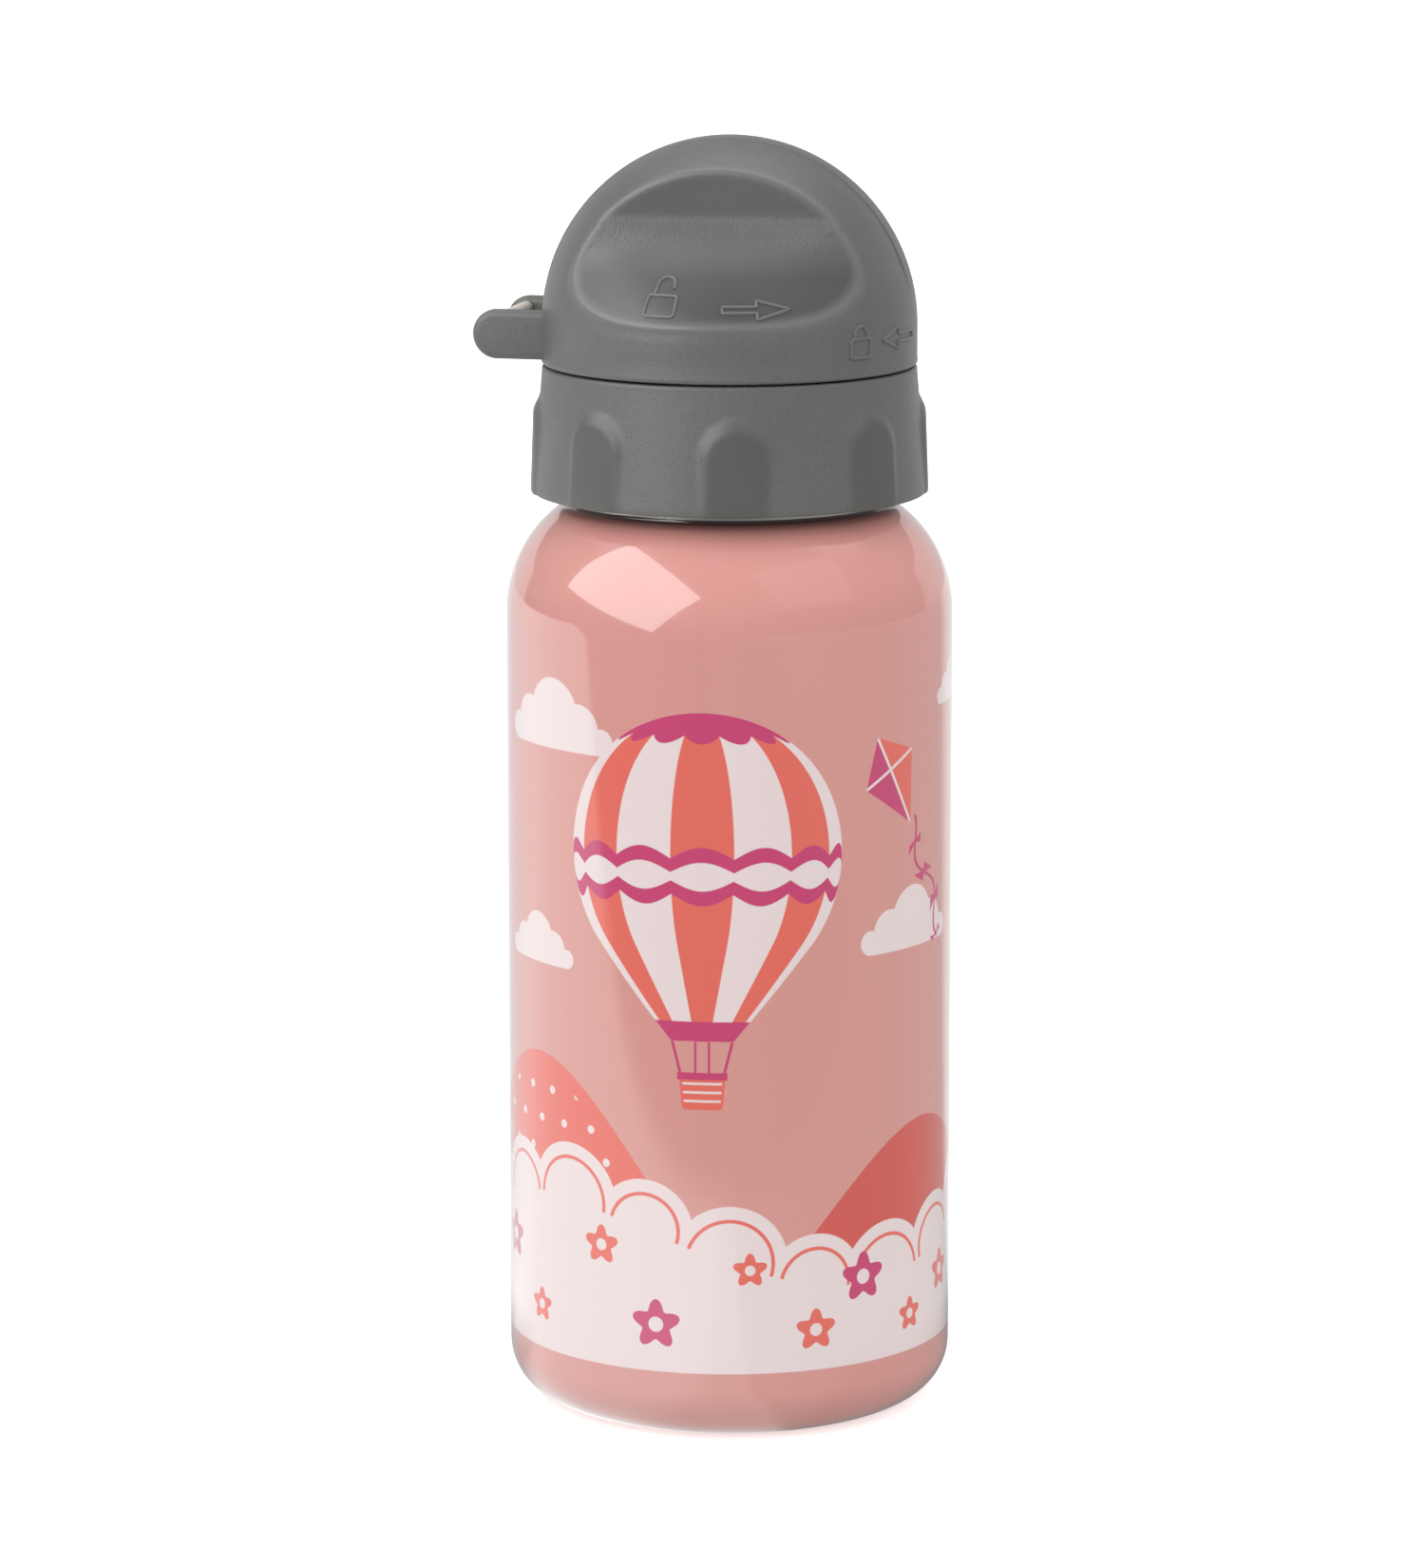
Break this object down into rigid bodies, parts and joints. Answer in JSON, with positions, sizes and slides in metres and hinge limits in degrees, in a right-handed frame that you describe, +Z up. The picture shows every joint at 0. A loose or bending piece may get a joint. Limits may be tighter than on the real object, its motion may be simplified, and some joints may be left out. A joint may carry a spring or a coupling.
{
  "type": "kids water bottle",
  "caption": "Kids' steel drinking bottle with a screw ring, push-pull spout, twist-off dome cover with finger recesses and a carry loop.",
  "frame": {"origin": "centre of the underside of the base, on the flat middle of the base", "axes": "+Z up along the axis of the bottle, -Y towards the front of the picture, +X to the viewer's right"},
  "size_m": [0.0708, 0.066, 0.1889],
  "materials": {
    "lacquered_steel": "glossy pink lacquer with a printed picture",
    "grey_plastic": "satin moulded grey, finely textured in the recesses",
    "pale_plastic": "satin moulded natural white",
    "mouthpiece_plastic": "soft satin white",
    "clear_silicone": "milky silicone",
    "pin_metal": "fine brushed"
  },
  "bodies": {
    "bottle": {"bottle_shell": "lacquered_steel"},
    "deck": {"spout_deck": "pale_plastic", "neck_gasket": "clear_silicone", "air_valve": "clear_silicone", "mouthpiece_seal": "clear_silicone", "dome_seal": "clear_silicone"},
    "ring": {"screw_ring": "grey_plastic"},
    "spout": {"mouthpiece": "mouthpiece_plastic"},
    "dome_pad": {"crown_pad": "clear_silicone"},
    "dome": {"dome_cover": "grey_plastic", "loop_pin": "pin_metal"}
  },
  "joints": [
    {"name": "cap_lift", "type": "slide", "parent": "bottle", "child": "deck", "axis": [0, 0, 1], "range_m": [0, 0.03]},
    {"name": "ring_turn", "type": "hinge", "parent": "deck", "child": "ring", "pos_m": [0, 0, 0.146], "axis": [0, 0, 1], "range_deg": [0, 540]},
    {"name": "spout_slide", "type": "slide", "parent": "deck", "child": "spout", "axis": [0, 0, 1], "range_m": [0, 0.005]},
    {"name": "dome_lift", "type": "slide", "parent": "deck", "child": "dome_pad", "axis": [0, 0, 1], "range_m": [0, 0.04]},
    {"name": "dome_turn", "type": "hinge", "parent": "dome_pad", "child": "dome", "pos_m": [0, 0, 0.1613], "axis": [0, 0, 1], "range_deg": [0, 90]}
  ]
}
